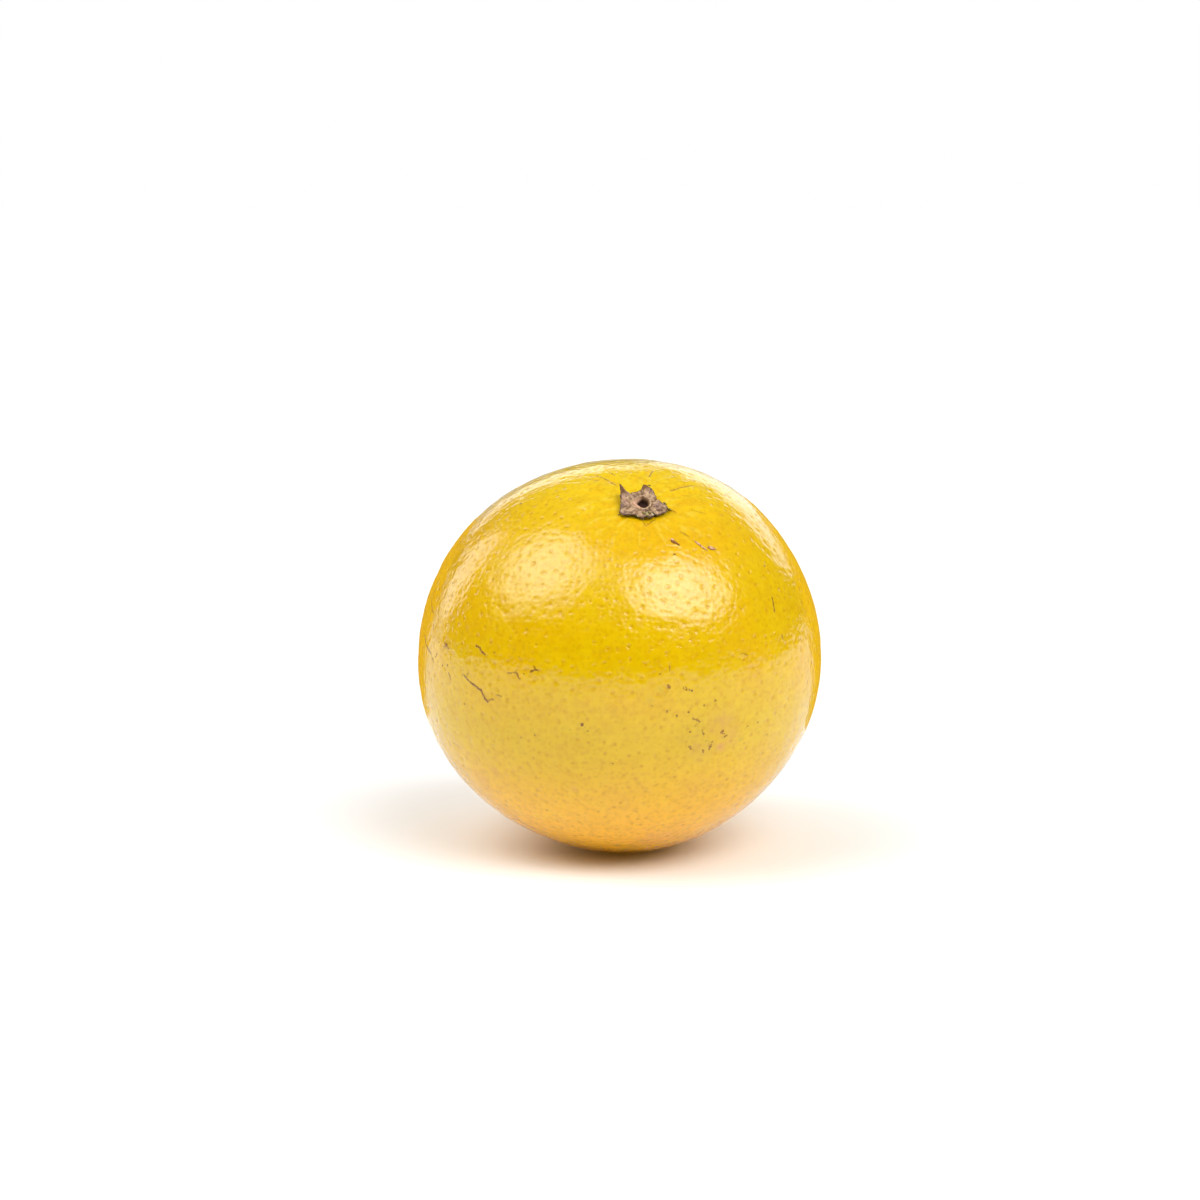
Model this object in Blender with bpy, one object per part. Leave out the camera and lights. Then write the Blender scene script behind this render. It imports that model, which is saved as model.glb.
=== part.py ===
# One whole fresh orange, lying on a small flat spot with its stem end up and leaning to the front.
# It has two pieces: the fruit in its pitted peel, and the dried calyx in the stem end.
#
# Metres, +Z up. The origin is the middle of the resting spot. The front is -Y.

import cmath
import math
import random

import bmesh
import bpy
from mathutils import Vector, noise

MM = 0.001

# Driving dimensions of the fruit
GIRTH_RADIUS = 37.6 * MM          # centre to peel, square to the stem axis
STEM_RADIUS = 36.3 * MM           # centre to peel, along the stem axis
STEM_LEAN = math.radians(32)      # stem axis away from upright
STEM_TURN = math.radians(11)      # where it leans, from the front towards +X
SPOT_RADIUS = 6.5 * MM            # flat resting spot

# The girth isn't a true round: standing waves run round it as seen from the front.
# Each is (number of swellings, height, direction of one swelling from +X towards +Z).
GIRTH_WAVES = (
    (2, 0.31 * MM, math.radians(36)),
    (3, 0.18 * MM, math.radians(59)),
    (5, 0.18 * MM, math.radians(61)),
)

# Soft unevenness all over the peel
SWELL_HEIGHT = 0.10 * MM
SWELL_SPACING = 16 * MM

# Stem end: a shallow dimple with furrows that run out from it
DIMPLE_DEPTH = 0.9 * MM
DIMPLE_RADIUS = 7.0 * MM
FURROWS = 9
FURROW_DEPTH = 0.22 * MM
FURROW_MIDDLE = 10.0 * MM         # distance from the stem axis where furrows are deepest
FURROW_SPREAD = 4.0 * MM

# Blossom end: a small nub in a faint hollow
NUB_HEIGHT = 0.45 * MM
NUB_RADIUS = 1.6 * MM
NUB_HOLLOW = 0.35 * MM
NUB_HOLLOW_RADIUS = 5.0 * MM

# Oil gland pits, drawn larger than life: one vertex in three is a pit's bottom
PEEL_CUTS = 23                    # cuts in each edge of the starting icosahedron; cuts + 1 divides by 3
PIT_DEPTH = 0.24 * MM
PIT_DEPTH_SPREAD = 0.9            # share of the depth that varies from pit to pit
PIT_SEED = 4
PIT_SCATTER = 0.55 * MM           # how far a point strays from the even net
CALYX_CLEAR = 7.0 * MM            # no pits this near the stem axis
SPOT_CLEAR = 8.0 * MM             # no pits this near the resting spot's middle

# Calyx: five dried sepals round a raised scar ring with a hollow in it
CALYX_GAP = 0.32 * MM             # clear of the peel
SEPAL_THICKNESS = 0.62 * MM
SEPAL_NOTCH = 3.25 * MM           # distance of the notches from the stem axis
SPOKES = 75
# Each sepal is (direction, reach, half its width as an angle, curl of its tip, sharpness).
# A sharpness over 1 draws the edge in towards the tip, and under 1 rounds it out.
SEPALS = (
    (math.radians(143), 5.2 * MM, math.radians(30), 1.5 * MM, 1.5),
    (math.radians(76), 4.3 * MM, math.radians(42), 0.9 * MM, 0.7),
    (math.radians(-16), 4.8 * MM, math.radians(42), 0.2 * MM, 0.65),
    (math.radians(-74), 4.0 * MM, math.radians(28), 0.1 * MM, 0.7),
    (math.radians(-139), 4.95 * MM, math.radians(34), 0.2 * MM, 0.9),
)
SCAR_RING = 1.55 * MM             # crest of the ring
SCAR_RING_HEIGHT = 1.3 * MM       # above the sepals' underside
SCAR_RING_FOOT = 2.1 * MM
HOLLOW_RADIUS = 1.15 * MM
HOLLOW_FLOOR = 0.5 * MM           # above the sepals' underside

# Colours as linear values
PEEL_COLOUR = (0.69, 0.42, 0.005)
CALYX_COLOUR = (0.28, 0.18, 0.11)

STEM_AXIS = Vector((
    math.sin(STEM_LEAN) * math.sin(STEM_TURN),
    -math.sin(STEM_LEAN) * math.cos(STEM_TURN),
    math.cos(STEM_LEAN),
))
STEM_RIGHT = Vector((0, 1, 0)).cross(STEM_AXIS).normalized()
STEM_BACK = STEM_AXIS.cross(STEM_RIGHT)


def bell(distance, width):
    return math.exp(-((distance / width) ** 2))


# Distance from the peel's centre to its smooth form, without pits
def peel_radius(direction):
    along = direction.dot(STEM_AXIS)
    across = 1 - along * along
    radius = 1 / math.sqrt(across / GIRTH_RADIUS ** 2 + along ** 2 / STEM_RADIUS ** 2)

    front_view = complex(direction.x, direction.z)
    for swellings, height, turn in GIRTH_WAVES:
        radius += height * (front_view ** swellings * cmath.rect(1, -swellings * turn)).real
    radius += SWELL_HEIGHT * noise.noise(direction * (GIRTH_RADIUS / SWELL_SPACING))

    off_axis = GIRTH_RADIUS * math.sqrt(max(across, 0))
    if along > 0:
        radius -= DIMPLE_DEPTH * bell(off_axis, DIMPLE_RADIUS)
        around = math.atan2(direction.dot(STEM_BACK), direction.dot(STEM_RIGHT))
        furrow = 0.5 + 0.5 * math.cos(FURROWS * around + 1.3 * math.sin(2 * around))
        radius -= FURROW_DEPTH * furrow * bell(off_axis - FURROW_MIDDLE, FURROW_SPREAD)
    else:
        radius += NUB_HEIGHT * bell(off_axis, NUB_RADIUS)
        radius -= NUB_HOLLOW * bell(off_axis, NUB_HOLLOW_RADIUS)
    return radius


# Where the smooth peel reaches lowest, found by a fine search round straight down
def lowest_point():
    steps = range(-20, 21)
    reach = math.radians(0.25)
    downs = (Vector((math.tan(i * reach), math.tan(j * reach), -1)).normalized()
             for i in steps for j in steps)
    return min((down * peel_radius(down) for down in downs), key=lambda point: point.z)


# Centre of the fruit above the resting spot. The spot is flattened by the height of its cap.
def fruit_centre():
    lowest = lowest_point()
    flattened = SPOT_RADIUS ** 2 / (2 * GIRTH_RADIUS)
    return Vector((-lowest.x, -lowest.y, -lowest.z - flattened))


def plain_material(name, colour, roughness, coat):
    material = bpy.data.materials.new(name)
    material.use_nodes = True
    shader = material.node_tree.nodes["Principled BSDF"]
    shader.inputs["Base Color"].default_value = (*colour, 1)
    shader.inputs["Roughness"].default_value = roughness
    shader.inputs["Metallic"].default_value = 0
    shader.inputs["Coat Weight"].default_value = coat
    return material


def add_object(bm, name, material, collection):
    mesh = bpy.data.meshes.new(name)
    bm.to_mesh(mesh)
    bm.free()
    mesh.shade_smooth()
    mesh.materials.append(material)
    obj = bpy.data.objects.new(name, mesh)
    collection.objects.link(obj)
    return obj


# The even net of pits: across the far edge of each face that meets a pit lies the next one.
def pit_vertices(bm, first):
    pits = {first}
    waiting = [first]
    while waiting:
        pit = waiting.pop()
        for face in pit.link_faces:
            far_edge = next(edge for edge in face.edges if pit not in edge.verts)
            beyond = next(other for other in far_edge.link_faces if other is not face)
            across = next(vert for vert in beyond.verts if vert not in far_edge.verts)
            if across not in pits:
                pits.add(across)
                waiting.append(across)
    return pits


def make_fruit(centre, collection):
    bm = bmesh.new()
    bmesh.ops.create_icosphere(bm, subdivisions=1, radius=1)
    bmesh.ops.subdivide_edges(bm, edges=bm.edges[:], cuts=PEEL_CUTS, use_grid_fill=True)
    corner = next(vert for vert in bm.verts if len(vert.link_edges) == 5)
    pits = pit_vertices(bm, corner)
    draw = random.Random(PIT_SEED)

    for vert in bm.verts:
        even = vert.co.normalized()
        scatter = noise.noise_vector(even * 40) * (PIT_SCATTER / GIRTH_RADIUS)
        direction = (even + scatter).normalized()
        radius = peel_radius(direction)
        if vert in pits:
            off_axis = GIRTH_RADIUS * direction.angle(STEM_AXIS)
            off_spot = math.hypot(direction.x * radius + centre.x, direction.y * radius + centre.y)
            on_underside = direction.z < 0 and off_spot < SPOT_CLEAR
            if off_axis > CALYX_CLEAR and not on_underside:
                radius -= PIT_DEPTH * (1 + PIT_DEPTH_SPREAD * draw.uniform(-1, 1))
        vert.co = direction * radius

    # flatten the resting spot at the height of the surface that the fruit lies on
    for vert in bm.verts:
        vert.co.z = max(vert.co.z, -centre.z)

    fruit = add_object(bm, "fruit", plain_material("orange_peel", PEEL_COLOUR, 0.18, 0.2), collection)
    fruit.location = centre
    return fruit


# How far the calyx reaches in a direction round the stem axis, and how its edge curls up there
def sepal_edge(around):
    reach = SEPAL_NOTCH
    curl = 0
    for direction, length, half_width, lift, sharpness in SEPALS:
        apart = abs((around - direction + math.pi) % (2 * math.pi) - math.pi)
        if apart < half_width:
            point = (1 - apart / half_width) ** sharpness
            reach = max(reach, SEPAL_NOTCH + (length - SEPAL_NOTCH) * point)
            curl = max(curl, lift * point)
    return reach, curl


# The calyx's section along one spoke, from the hollow's middle over the top and back below.
# Each point is a distance from the stem axis and a height above the sepals' underside.
def calyx_section(around):
    reach, curl = sepal_edge(around)
    section = [
        (0, HOLLOW_FLOOR),
        (0.8 * HOLLOW_RADIUS, HOLLOW_FLOOR),
        (HOLLOW_RADIUS, SCAR_RING_HEIGHT - 0.1 * MM),
        (SCAR_RING, SCAR_RING_HEIGHT),
        (SCAR_RING_FOOT, SEPAL_THICKNESS + 0.1 * MM),
    ]
    shares = (0.35, 0.7, 0.93, 1)
    for share in shares:
        distance = SCAR_RING_FOOT + (reach - SCAR_RING_FOOT) * share
        rounded = 0.15 * MM if share == 1 else 0
        section.append((distance, SEPAL_THICKNESS + curl * share ** 2 - rounded))
    for share in reversed(shares):
        distance = SCAR_RING_FOOT + (reach - SCAR_RING_FOOT) * share
        rounded = 0.15 * MM if share == 1 else 0
        section.append((distance, curl * share ** 2 + rounded))
    section.append((SCAR_RING_FOOT, 0))
    section.append((HOLLOW_RADIUS, 0))
    section.append((0, 0))
    return section


# A point at a place beside the stem axis and a height above the smooth peel
def over_peel(right, back, height):
    up = math.sqrt(STEM_RADIUS ** 2 - right ** 2 - back ** 2)
    direction = (STEM_RIGHT * right + STEM_BACK * back + STEM_AXIS * up).normalized()
    return direction * (peel_radius(direction) + height)


def make_calyx(fruit, collection):
    sections = [calyx_section(2 * math.pi * spoke / SPOKES) for spoke in range(SPOKES + 1)]
    rows = len(sections[0]) - 1

    # a flat sheet, one column for each spoke, is rolled up into the closed calyx
    bm = bmesh.new()
    bmesh.ops.create_grid(bm, x_segments=SPOKES, y_segments=rows, size=0.5)
    for vert in bm.verts:
        spoke = round((vert.co.x + 0.5) * SPOKES)
        row = round((vert.co.y + 0.5) * rows)
        distance, height = sections[spoke][row]
        around = 2 * math.pi * spoke / SPOKES
        right = distance * math.cos(around)
        back = distance * math.sin(around)
        vert.co = over_peel(right, back, CALYX_GAP + height)
    bmesh.ops.remove_doubles(bm, verts=bm.verts[:], dist=0.001 * MM)
    bmesh.ops.recalc_face_normals(bm, faces=bm.faces[:])

    calyx = add_object(bm, "calyx", plain_material("dried_calyx", CALYX_COLOUR, 0.8, 0), collection)
    calyx.parent = fruit
    return calyx


for obj in list(bpy.data.objects):
    bpy.data.objects.remove(obj, do_unlink=True)

orange = bpy.data.collections.new("orange")
bpy.context.scene.collection.children.link(orange)
fruit = make_fruit(fruit_centre(), orange)
make_calyx(fruit, orange)
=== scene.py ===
# A whole fresh orange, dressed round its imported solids: waxy peel with oil glands and healed scars,
# a dried calyx in the stem end, and a plain white studio.
import cmath
import math
import random
from functools import partial

import bpy
import numpy as np
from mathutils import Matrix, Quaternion, Vector, kdtree, noise


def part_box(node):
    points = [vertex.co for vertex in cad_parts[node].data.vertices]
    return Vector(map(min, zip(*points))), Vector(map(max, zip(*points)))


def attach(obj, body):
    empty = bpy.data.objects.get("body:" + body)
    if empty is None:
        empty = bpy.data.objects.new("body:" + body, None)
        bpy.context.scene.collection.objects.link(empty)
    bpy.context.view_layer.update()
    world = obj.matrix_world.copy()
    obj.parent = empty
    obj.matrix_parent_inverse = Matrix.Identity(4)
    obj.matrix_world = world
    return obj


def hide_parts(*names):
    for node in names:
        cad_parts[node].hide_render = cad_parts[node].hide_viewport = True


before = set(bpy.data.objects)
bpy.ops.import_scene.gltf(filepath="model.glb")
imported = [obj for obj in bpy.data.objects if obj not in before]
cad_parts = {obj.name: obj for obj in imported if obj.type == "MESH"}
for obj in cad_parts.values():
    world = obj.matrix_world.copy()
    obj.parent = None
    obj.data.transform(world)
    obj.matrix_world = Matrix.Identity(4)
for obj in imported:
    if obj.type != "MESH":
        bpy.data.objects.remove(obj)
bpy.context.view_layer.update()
mm = 0.001


def hexToLinear(colour):
    channels = [int(colour[i:i + 2], 16) / 255 for i in (0, 2, 4)]
    linear = [c / 12.92 if c <= 0.04045 else ((c + 0.055) / 1.055) ** 2.4 for c in channels]
    return (*linear, 1)


# sets a node's inputs: each takes a number, a hex colour, a socket, or another node for its first output
def setInputs(node, inputs):
    for socket, value in inputs.items():
        if isinstance(value, str):
            value = hexToLinear(value)
        if isinstance(value, bpy.types.Node):
            value = next(output for output in value.outputs if output.enabled)
        if isinstance(value, bpy.types.NodeSocket):
            node.id_data.links.new(value, node.inputs[socket])
        else:
            node.inputs[socket].default_value = value


# adds a node with its settings and links
def addNode(tree, kind, inputs=None, **settings):
    node = tree.nodes.new("ShaderNode" + kind)
    for name, value in settings.items():
        setattr(node, name, value)
    setInputs(node, inputs or {})
    return node


# a material, the function that adds nodes to it, and its shader
def newMaterial(name):
    material = bpy.data.materials.new(name)
    material.use_nodes = True
    tree = material.node_tree
    return material, partial(addNode, tree), tree.nodes["Principled BSDF"]


# the masks that a material is mixed by: its noise, in patches of a real size, and values kept on the piece
def readMasks(add, look):
    place = add("TexCoord").outputs["Object"]
    masks = {"place": place}
    for name, (spacing, detail) in look["noise"].items():
        masks[name] = add("TexNoise", {"Vector": place, "Scale": 1 / (spacing * mm), "Detail": detail})
    for name in look.get("kept", ()):
        masks[name] = add("Attribute", attribute_name=name).outputs["Fac"]
    return masks


# The layers of a look, laid over its first colour in turn. Each has its mask, the levels of that mask
# where the layer starts and where it is full, its share there, its colour, and LINEAR for an even rise.
def layColours(add, look, first, masks, mixed=None):
    colours = {**look, **(mixed or {})}
    under = look[first]
    for mask, start, full, share, colour, *rise in look["layers"]:
        levels = {"Value": masks[mask], "From Min": start, "From Max": full, "To Max": share}
        cover = add("MapRange", levels, interpolation_type=rise[0] if rise else "SMOOTHSTEP")
        under = add("Mix", {0: cover, 6: under, 7: colours[colour]}, data_type="RGBA")
    return under


# a look's bumps on top of each other, each as high as its number in mm, or as deep where that is below zero
def addRelief(add, look, masks):
    relief = None
    for mask, height in look["relief"]:
        bump = add("Bump", {"Height": masks[mask], "Distance": abs(height) * mm}, invert=height < 0)
        if relief:
            setInputs(bump, {"Normal": relief})
        relief = bump
    return relief


def deselectAll():
    bpy.ops.object.select_all(action="DESELECT")


def applyModifiers(piece):
    deselectAll()
    piece.select_set(True)
    bpy.context.view_layer.objects.active = piece
    for modifier in list(piece.modifiers):
        bpy.ops.object.modifier_apply(modifier=modifier.name)


def readPoints(piece):
    points = np.empty(len(piece.data.vertices) * 3)
    piece.data.vertices.foreach_get("co", points)
    return points.reshape(-1, 3)


def writePoints(piece, points):
    piece.data.vertices.foreach_set("co", points.astype(np.float32).ravel())
    piece.data.update()


def addAttribute(piece, name, values, kind="FLOAT"):
    attribute = piece.data.attributes.new(name, kind, "POINT")
    field = "vector" if kind == "FLOAT_VECTOR" else "value"
    attribute.data.foreach_set(field, np.asarray(values, np.float32).ravel())


def bell(distance, width):
    return np.exp(-(distance / width) ** 2)


def smoothStep(low, high, value):
    share = np.clip((value - low) / (high - low), 0, 1)
    return share * share * (3 - 2 * share)


# noise on a list of rows, each a place in the noise's own units
def noiseAt(rows):
    return np.array([noise.noise(Vector(row)) for row in rows])


# the fruit's form, the same as its solid's, lengths in mm and angles in degrees
fruitForm = {
    "girthRadius": 37.6,
    "stemRadius": 36.3,
    "stemLean": 32,             # stem axis from upright, towards the front
    "stemTurn": 11,             # and from the front towards +X
    "girthWaves": ((2, 0.31, 36), (3, 0.18, 59), (5, 0.18, 61)),   # swellings, height, direction
    "swellHeight": 0.10,
    "swellSpacing": 16,
    "dimpleDepth": 0.9,
    "dimpleRadius": 7.0,
    "furrows": 9,
    "furrowDepth": 0.22,
    "furrowMiddle": 10.0,
    "furrowSpread": 4.0,
    "nubHeight": 0.45,
    "nubRadius": 1.6,
    "nubHollow": 0.35,
    "nubHollowRadius": 5.0,
}

lean = math.radians(fruitForm["stemLean"])
turn = math.radians(fruitForm["stemTurn"])
stemAxis = np.array((math.sin(lean) * math.sin(turn), -math.sin(lean) * math.cos(turn), math.cos(lean)))
stemRight = np.cross((0, 1, 0), stemAxis)
stemRight /= np.linalg.norm(stemRight)
stemBack = np.cross(stemAxis, stemRight)


# distance in mm from the fruit's centre to its smooth form, for an array of unit directions
def formRadius(directions):
    form = fruitForm
    along = directions @ stemAxis
    across = np.clip(1 - along ** 2, 0, 1)
    radius = 1 / np.sqrt(across / form["girthRadius"] ** 2 + along ** 2 / form["stemRadius"] ** 2)
    frontView = directions[:, 0] + 1j * directions[:, 2]
    for swellings, height, towards in form["girthWaves"]:
        radius += height * (frontView ** swellings * cmath.rect(1, -swellings * math.radians(towards))).real
    spacing = form["girthRadius"] / form["swellSpacing"]
    radius += form["swellHeight"] * noiseAt(directions * spacing)

    offAxis = form["girthRadius"] * np.sqrt(across)
    around = np.arctan2(directions @ stemBack, directions @ stemRight)
    furrow = 0.5 + 0.5 * np.cos(form["furrows"] * around + 1.3 * np.sin(2 * around))
    stemEnd = form["dimpleDepth"] * bell(offAxis, form["dimpleRadius"])
    stemEnd += form["furrowDepth"] * furrow * bell(offAxis - form["furrowMiddle"], form["furrowSpread"])
    blossomEnd = form["nubHollow"] * bell(offAxis, form["nubHollowRadius"])
    blossomEnd -= form["nubHeight"] * bell(offAxis, form["nubRadius"])
    return radius - np.where(along > 0, stemEnd, blossomEnd)


# the centre of the fruit: where the form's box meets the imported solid's box
def findCentre():
    low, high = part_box("fruit")
    steps = 200
    up = np.arccos(np.linspace(-1, 1, steps))
    around = np.linspace(0, 2 * math.pi, 2 * steps, endpoint=False)
    up, around = (grid.ravel() for grid in np.meshgrid(up, around))
    directions = np.stack((np.sin(up) * np.cos(around), np.sin(up) * np.sin(around), np.cos(up)), 1)
    points = directions * formRadius(directions)[:, None] * mm
    middle = (points.min(0) + points.max(0)) / 2
    return np.array(((low.x + high.x) / 2 - middle[0], (low.y + high.y) / 2 - middle[1],
                     high.z - points[:, 2].max()))


fruitCentre = findCentre()
print("fruit centre", fruitCentre)

# the camera of the photograph: a 75 mm lens on a 36 mm sensor, looking down a little
cameraView = {
    "lens": 75,
    "sensor": 36,
    "frame": 1200,              # pixels each way
    "pitchDown": 9.16,          # degrees
    "distance": 468.6,          # mm along the view to the fruit's centre
    "fruitAt": (619.9, 654.0),  # pixel of the fruit's centre
}


def addCamera():
    view = cameraView
    pixel = view["sensor"] / view["frame"] / view["lens"]
    pitch = math.radians(view["pitchDown"])
    forward = np.array((0, math.cos(pitch), -math.sin(pitch)))
    up = np.array((0, math.sin(pitch), math.cos(pitch)))
    right = np.array((1.0, 0, 0))
    x = (view["fruitAt"][0] - view["frame"] / 2) * pixel
    y = (view["frame"] / 2 - view["fruitAt"][1]) * pixel
    place = fruitCentre - view["distance"] * mm * (forward + right * x + up * y)

    bpy.ops.object.camera_add(location=place, rotation=(math.pi / 2 - pitch, 0, 0))
    camera = bpy.context.active_object
    camera.data.lens = view["lens"]
    camera.data.sensor_width = view["sensor"]
    bpy.context.scene.camera = camera

    # a line of sight through a pixel of the photograph
    def lineOfSight(px, py):
        sight = forward + right * (px - view["frame"] / 2) * pixel + up * (view["frame"] / 2 - py) * pixel
        return Vector(place), Vector(sight).normalized()

    return lineOfSight


lineOfSight = addCamera()
print("camera in place")

# oil glands that are large enough to be real pits in the peel, lengths in mm
pitLook = {
    "meshLevels": 7,            # times that the peel's faces are halved
    "count": 4300,              # one every 2.4 mm or so, after those too near go
    "jitter": 0.95,
    "apart": 1.5,               # no two pits nearer than this
    "radius": (0.42, 0.66),
    "depth": (0.02, 0.075),
    "reach": 3,                 # radii of a pit that its bowl and rim fade out in
    "rimHeight": 0.008,
    "rim": (1.7, 0.6),          # its place and width, in radii of the pit
    "letGo": (0.55, 0.95),      # mm from a pit where it starts to let go, and has gone
    "calyxClear": (7, 16),      # from the stem axis: where pits are faint, and where they are full
    "faintest": 0.2,            # share of their depth that they keep there
    "unevenness": ((13, 0.070), (27, 0.022)),   # bumps in one radius of the fruit, and height
    # faint ridges round the calyx, and the paler and deeper streaks that go with them; the paler
    # streaks are painted highlight on the ridges
    "rays": {"count": 9, "perMm": 0.25, "height": 0.15, "middle": 8.0, "spread": 4.5},
    "streaks": {"fineness": 2.3, "fineShare": 0.8, "spread": 6.75},
    "seed": 11,
}


def scatterPits():
    look = pitLook
    draw = random.Random(look["seed"])
    golden = math.pi * (3 - math.sqrt(5))
    places = []
    for i in range(look["count"]):
        z = 1 - (2 * i + 1) / look["count"]
        ring = math.sqrt(1 - z * z)
        even = Vector((ring * math.cos(golden * i), ring * math.sin(golden * i), z))
        stray = Vector([draw.uniform(-1, 1) for _ in range(3)]) * look["jitter"] / fruitForm["girthRadius"]
        places.append((even + stray).normalized())

    everyPlace = treeOf(places)
    apart = look["apart"] / fruitForm["girthRadius"]
    kept = [place for i, place in enumerate(places)
            if all(other >= i for _, other, _ in everyPlace.find_range(place, apart))]
    sizes = [(draw.uniform(*look["radius"]), draw.uniform(*look["depth"])) for _ in kept]
    return treeOf(kept), sizes


def treeOf(places):
    tree = kdtree.KDTree(len(places))
    for i, place in enumerate(places):
        tree.insert(place, i)
    tree.balance()
    return tree


farOff = 3                      # mm, the length of a way that has let go


# The way from a point to the nearest pit or mark, in mm, as a vector along the peel. It stays true
# between the points of the mesh, so a small dot keeps a sharp edge. Further away it gains an outward
# share, so that it can't pass through nothing halfway between two marks.
def wayAlong(toNearest, outward, distance, letGo):
    way = toNearest - outward * (toNearest @ outward)
    return way + outward * farOff * smoothStep(*letGo, distance)


def makePeel():
    look = pitLook
    deselectAll()
    bpy.ops.mesh.primitive_cube_add(size=2)
    peel = bpy.context.active_object
    peel.name = "peel"
    finer = peel.modifiers.new("finer", "SUBSURF")
    finer.levels = finer.render_levels = look["meshLevels"]
    sphere = peel.modifiers.new("sphere", "CAST")
    sphere.factor = 1
    applyModifiers(peel)

    directions = readPoints(peel)
    directions /= np.linalg.norm(directions, axis=1)[:, None]
    radius = formRadius(directions)
    offAxis = fruitForm["girthRadius"] * np.arccos(np.clip(directions @ stemAxis, -1, 1))

    # each pit is a soft bowl with a faint rim
    tree, sizes = scatterPits()
    rimPlace, rimWidth = look["rim"]
    wayToPit = np.empty(directions.shape)
    pitDepth = np.empty(len(directions))
    relief = np.zeros(len(directions))
    for i, direction in enumerate(directions):
        nearest = tree.find_n(direction, 2)
        for _, index, distance in nearest:
            pitRadius, depth = sizes[index]
            share = distance * fruitForm["girthRadius"] / pitRadius
            if share < look["reach"]:
                relief[i] += look["rimHeight"] * math.exp(-((share - rimPlace) / rimWidth) ** 2)
                relief[i] -= depth * math.exp(-share ** 2)
        place, index, distance = nearest[0]
        toPit = (np.array(place) - direction) * fruitForm["girthRadius"]
        wayToPit[i] = wayAlong(toPit, direction, distance * fruitForm["girthRadius"], look["letGo"])
        pitDepth[i] = sizes[index][1] / look["depth"][1]
    strength = look["faintest"] + (1 - look["faintest"]) * smoothStep(*look["calyxClear"], offAxis)
    radius += relief * strength

    # the peel between the pits is slightly uneven, and faint ridges run out from the calyx
    for fineness, height in look["unevenness"]:
        radius += height * noiseAt(directions * fineness)
    rays, streaks = look["rays"], look["streaks"]
    around = np.arctan2(directions @ stemBack, directions @ stemRight) * (directions @ stemAxis > 0)
    rayPlace = np.stack((np.cos(around) * rays["count"], np.sin(around) * rays["count"],
                         offAxis * rays["perMm"]), 1)
    ray = noiseAt(rayPlace)
    radius += rays["height"] * ray * bell(offAxis - rays["middle"], rays["spread"])
    # the streaks follow the ridges, and where they are pale the peel's colour paints highlight on them
    streak = ray + streaks["fineShare"] * noiseAt(rayPlace * streaks["fineness"])
    streak *= bell(offAxis - rays["middle"], streaks["spread"])

    points = fruitCentre + directions * radius[:, None] * mm
    points[:, 2] = np.maximum(points[:, 2], 0)
    writePoints(peel, points)
    peel.data.shade_smooth()
    addAttribute(peel, "wayToPit", wayToPit, "FLOAT_VECTOR")
    addAttribute(peel, "pitDepth", pitDepth * strength)
    addAttribute(peel, "streak", streak)
    return peel


peel = makePeel()
print("peel shaped", len(peel.data.vertices), "points")

# healed scars and specks, as pixels of the photograph, which sights through the camera put on the peel.
# Each line has half its width in mm and how dark it is, then its points.
marks = {
    "cracksRoundCalyx": (
        (0.06, 0.75, (608.6, 472.3), (614.8, 475.4)),
        (0.07, 0.80, (597.0, 475.9), (606.0, 479.5), (615.7, 485.3)),
        (0.05, 0.45, (585.4, 479.0), (597.9, 480.8)),
        (0.07, 0.80, (649.2, 476.8), (651.0, 473.6), (653.2, 471.0)),
        (0.06, 0.80, (670.2, 491.2), (681.0, 487.6), (692.5, 485.7)),
        (0.05, 0.45, (689.8, 509.8), (704.0, 513.4)),
        (0.07, 0.65, (680.9, 532.0), (688.9, 536.6)),
        (0.05, 0.55, (642.8, 521.0), (645.9, 526.0), (650.5, 522.8), (655.0, 519.6)),
    ),
    "leftSide": (
        (0.08, 0.55, (438.8, 578.8), (435.6, 590.0), (431.9, 595.6)),
        (0.09, 0.80, (431.9, 598.8), (431.9, 607.5), (433.5, 613.0)),
        (0.08, 0.75, (433.5, 623.2), (433.5, 629.4)),
        (0.09, 0.90, (424.8, 635.0), (426.3, 645.0), (428.8, 650.0), (431.2, 653.6)),
        (0.08, 0.75, (448.6, 673.0), (451.0, 680.0)),
        (0.13, 0.95, (476.0, 646.0), (480.0, 647.5), (481.3, 651.9), (485.0, 654.4)),
    ),
    "longScar": (
        (0.10, 0.90, (463.1, 674.0), (466.0, 678.0), (470.0, 681.9)),
        (0.13, 1.00, (470.0, 681.9), (476.0, 686.5), (481.3, 690.6)),
        (0.17, 1.00, (481.3, 690.6), (485.0, 698.8), (488.1, 701.9)),
        (0.09, 0.80, (488.1, 701.9), (491.9, 698.6), (494.0, 699.8)),
        (0.06, 0.55, (468.5, 673.0), (466.5, 676.8)),
        (0.08, 0.60, (497.0, 695.0), (501.2, 696.2)),
    ),
    "fork": (
        (0.07, 0.75, (507.8, 673.2), (516.3, 672.3)),
        (0.12, 0.95, (515.8, 671.8), (517.5, 674.4), (519.6, 679.4)),
        (0.09, 0.90, (530.8, 672.6), (534.4, 669.4), (537.6, 670.2)),
        (0.07, 0.80, (534.4, 669.4), (534.0, 666.4)),
    ),
    "rightSide": (
        (0.13, 0.90, (772.0, 597.5), (773.4, 604.0), (774.5, 611.5)),
        (0.10, 0.75, (782.0, 635.0), (782.8, 639.2)),
        (0.06, 0.75, (670.0, 665.0), (669.8, 670.5)),
        (0.08, 0.50, (740.7, 654.0), (744.0, 653.2), (747.7, 655.4)),
    ),
}
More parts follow.
